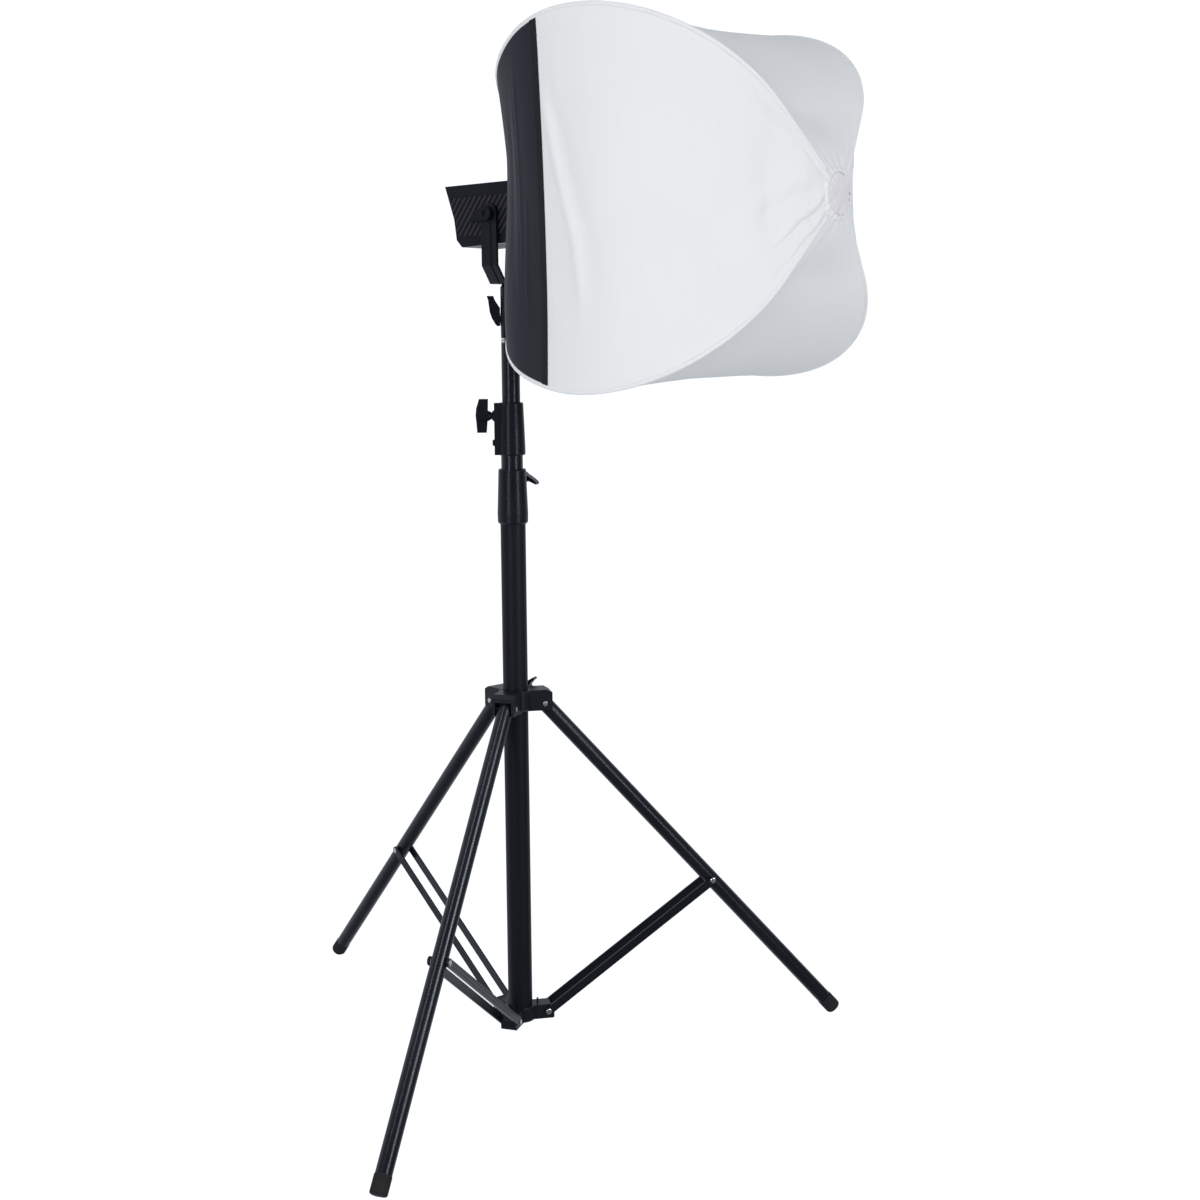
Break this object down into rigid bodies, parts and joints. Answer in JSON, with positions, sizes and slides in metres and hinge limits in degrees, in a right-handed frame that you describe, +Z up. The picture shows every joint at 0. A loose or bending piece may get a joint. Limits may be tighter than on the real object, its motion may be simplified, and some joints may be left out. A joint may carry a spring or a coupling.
{
  "type": "lantern softbox light on stand",
  "caption": "Square lantern softbox on an LED light head, held by a tilting yoke on a three-section light stand with folding braced legs.",
  "frame": {"origin": "on the floor, under the middle of the whole object", "axes": "+Z up, +X the way the softbox faces"},
  "size_m": [0.9797, 0.8302, 1.3959],
  "materials": {
    "black_tube": "satin black anodised tube",
    "cast_black": "satin black painted casting",
    "moulded_black": "fine-grained satin black moulding",
    "rubber": "matt black rubber",
    "steel": "bright zinc-plated steel",
    "aluminium": "bare satin aluminium",
    "white_cloth": "white translucent nylon, fine weave",
    "black_cloth": "black coated nylon with a soft sheen",
    "display": "dark gloss window",
    "led": "yellow phosphor disc on a white board",
    "circuit_board": "green board"
  },
  "bodies": {
    "base": {"base_tube": "black_tube", "base_plug": "moulded_black", "lower_collar": "cast_black", "lock_collar_1": "moulded_black"},
    "spreader": {"spreader": "cast_black", "leg_pins": "steel"},
    "spreader_knob": {"spreader_knob": "moulded_black"},
    "leg_1": {"leg_1": "black_tube", "foot_1": "rubber"},
    "leg_2": {"leg_2": "black_tube", "foot_2": "rubber"},
    "leg_3": {"leg_3": "black_tube", "foot_3": "rubber"},
    "brace_1": {"brace_1": "black_tube", "brace_rivets_1": "steel"},
    "brace_2": {"brace_2": "black_tube", "brace_rivets_2": "steel"},
    "brace_3": {"brace_3": "black_tube", "brace_rivets_3": "steel"},
    "lock_knob_1": {"lock_knob_1": "moulded_black"},
    "mast_2": {"tube_2": "black_tube", "slide_bush_2": "moulded_black", "lock_collar_2": "moulded_black", "collar_screw": "moulded_black"},
    "lock_knob_2": {"lock_knob_2": "moulded_black"},
    "mast_3": {"tube_3": "black_tube", "slide_bush_3": "moulded_black", "spigot": "steel"},
    "yoke": {"receiver": "moulded_black", "yoke": "cast_black", "yoke_bolt": "steel"},
    "receiver_lever": {"receiver_lever": "moulded_black"},
    "tilt_lever": {"tilt_lever": "moulded_black"},
    "head": {"tilt_bolts": "cast_black", "side_panel_left": "moulded_black", "side_panel_right": "moulded_black", "top_cover": "moulded_black", "bottom_cover": "moulded_black", "rear_panel": "moulded_black", "mount_ring": "cast_black", "led_module": "led", "heat_sink": "aluminium", "driver_board": "circuit_board", "display": "display", "dc_inlet": "aluminium", "speed_ring": "cast_black", "rib_1": "aluminium", "rib_2": "aluminium", "rib_3": "aluminium", "rib_4": "aluminium", "front_hub": "white_cloth", "rear_skin": "black_cloth", "diffuser_1": "white_cloth", "diffuser_2": "white_cloth", "diffuser_3": "white_cloth", "diffuser_4": "white_cloth"},
    "fan": {"fan": "moulded_black"},
    "dial": {"dial": "rubber"},
    "power_switch": {"power_switch": "rubber"},
    "release_button": {"release_button": "steel"}
  },
  "joints": [
    {"name": "leg_spread", "type": "slide", "parent": "base", "child": "spreader", "axis": [0, 0, 1], "range_m": [0, 0.21914]},
    {"name": "leg_1_hinge", "type": "hinge", "parent": "spreader", "child": "leg_1", "pos_m": [0.01466, 0.07934, 0.5014], "axis": [-0.7455, 0.6665, 0], "range_deg": [0, 41.64]},
    {"name": "leg_2_hinge", "type": "hinge", "parent": "spreader", "child": "leg_2", "pos_m": [-0.05033, 0.05797, 0.5014], "axis": [-0.2045, -0.9789, 0], "range_deg": [0, 41.64]},
    {"name": "leg_3_hinge", "type": "hinge", "parent": "spreader", "child": "leg_3", "pos_m": [0.00067, 0.01237, 0.5014], "axis": [0.95, 0.3123, 0], "range_deg": [0, 41.64]},
    {"name": "brace_1_hinge", "type": "hinge", "parent": "base", "child": "brace_1", "pos_m": [0.01466, 0.07934, 0.0454], "axis": [0.7455, -0.6665, 0], "range_deg": [0, 54.11]},
    {"name": "brace_2_hinge", "type": "hinge", "parent": "base", "child": "brace_2", "pos_m": [-0.05033, 0.05797, 0.0454], "axis": [0.2045, 0.9789, 0], "range_deg": [0, 54.11]},
    {"name": "brace_3_hinge", "type": "hinge", "parent": "base", "child": "brace_3", "pos_m": [0.00067, 0.01237, 0.0454], "axis": [-0.95, -0.3123, 0], "range_deg": [0, 54.11]},
    {"name": "spreader_knob_turn", "type": "hinge", "parent": "spreader", "child": "spreader_knob", "pos_m": [-0.02041, 0.0765, 0.5134], "axis": [-0.3123, 0.95, 0], "range_deg": [0, 360]},
    {"name": "lock_knob_1_turn", "type": "hinge", "parent": "base", "child": "lock_knob_1", "pos_m": [-0.0201, 0.07555, 0.817], "axis": [-0.3123, 0.95, 0], "range_deg": [0, 360]},
    {"name": "mast_2_slide", "type": "slide", "parent": "base", "child": "mast_2", "axis": [0, 0, 1], "range_m": [-0.015, 0.55]},
    {"name": "lock_knob_2_turn", "type": "hinge", "parent": "mast_2", "child": "lock_knob_2", "pos_m": [-0.03027, 0.03473, 0.905], "axis": [-0.7749, -0.632, 0], "range_deg": [0, 360]},
    {"name": "mast_3_slide", "type": "slide", "parent": "mast_2", "child": "mast_3", "axis": [0, 0, 1], "range_m": [-0.05, 0.55]},
    {"name": "pan", "type": "hinge", "parent": "mast_3", "child": "yoke", "pos_m": [-0.01167, 0.0499, 1.04], "axis": [0, 0, 1], "continuous": true},
    {"name": "receiver_lever_turn", "type": "hinge", "parent": "yoke", "child": "receiver_lever", "pos_m": [-0.02252, 0.04105, 1.036], "axis": [-0.7749, -0.632, 0], "range_deg": [-120, 120]},
    {"name": "head_tilt", "type": "hinge", "parent": "yoke", "child": "head", "pos_m": [-0.01167, 0.0499, 1.174], "axis": [0, -1, 0], "range_deg": [-25, 75]},
    {"name": "tilt_lever_turn", "type": "hinge", "parent": "yoke", "child": "tilt_lever", "pos_m": [-0.01167, 0.0049, 1.174], "axis": [0, 1, 0], "range_deg": [-60, 60]},
    {"name": "fan_spin", "type": "hinge", "parent": "head", "child": "fan", "pos_m": [-0.00167, 0.0499, 1.17416], "axis": [0.9999, 0, 0.0157], "continuous": true},
    {"name": "dial_turn", "type": "hinge", "parent": "head", "child": "dial", "pos_m": [-0.07549, 0.0379, 1.162], "axis": [-0.9999, 0, -0.0157], "continuous": true},
    {"name": "power_rocker", "type": "hinge", "parent": "head", "child": "power_switch", "pos_m": [-0.07299, 0.0699, 1.15603], "axis": [0, 1, 0], "range_deg": [-8, 8]},
    {"name": "release_push", "type": "slide", "parent": "head", "child": "release_button", "axis": [0.9999, 0, 0.0157], "range_m": [0, 0.0012], "stiffness_N_per_m": 400, "springref_m": -0.0005}
  ],
  "couplings": [
    {"joint": "leg_1_hinge", "follows": "leg_spread", "rad_per_m": 3.3121},
    {"joint": "brace_1_hinge", "follows": "leg_spread", "rad_per_m": 4.3057},
    {"joint": "leg_2_hinge", "follows": "leg_spread", "rad_per_m": 3.3121},
    {"joint": "brace_2_hinge", "follows": "leg_spread", "rad_per_m": 4.3057},
    {"joint": "leg_3_hinge", "follows": "leg_spread", "rad_per_m": 3.3121},
    {"joint": "brace_3_hinge", "follows": "leg_spread", "rad_per_m": 4.3057}
  ]
}
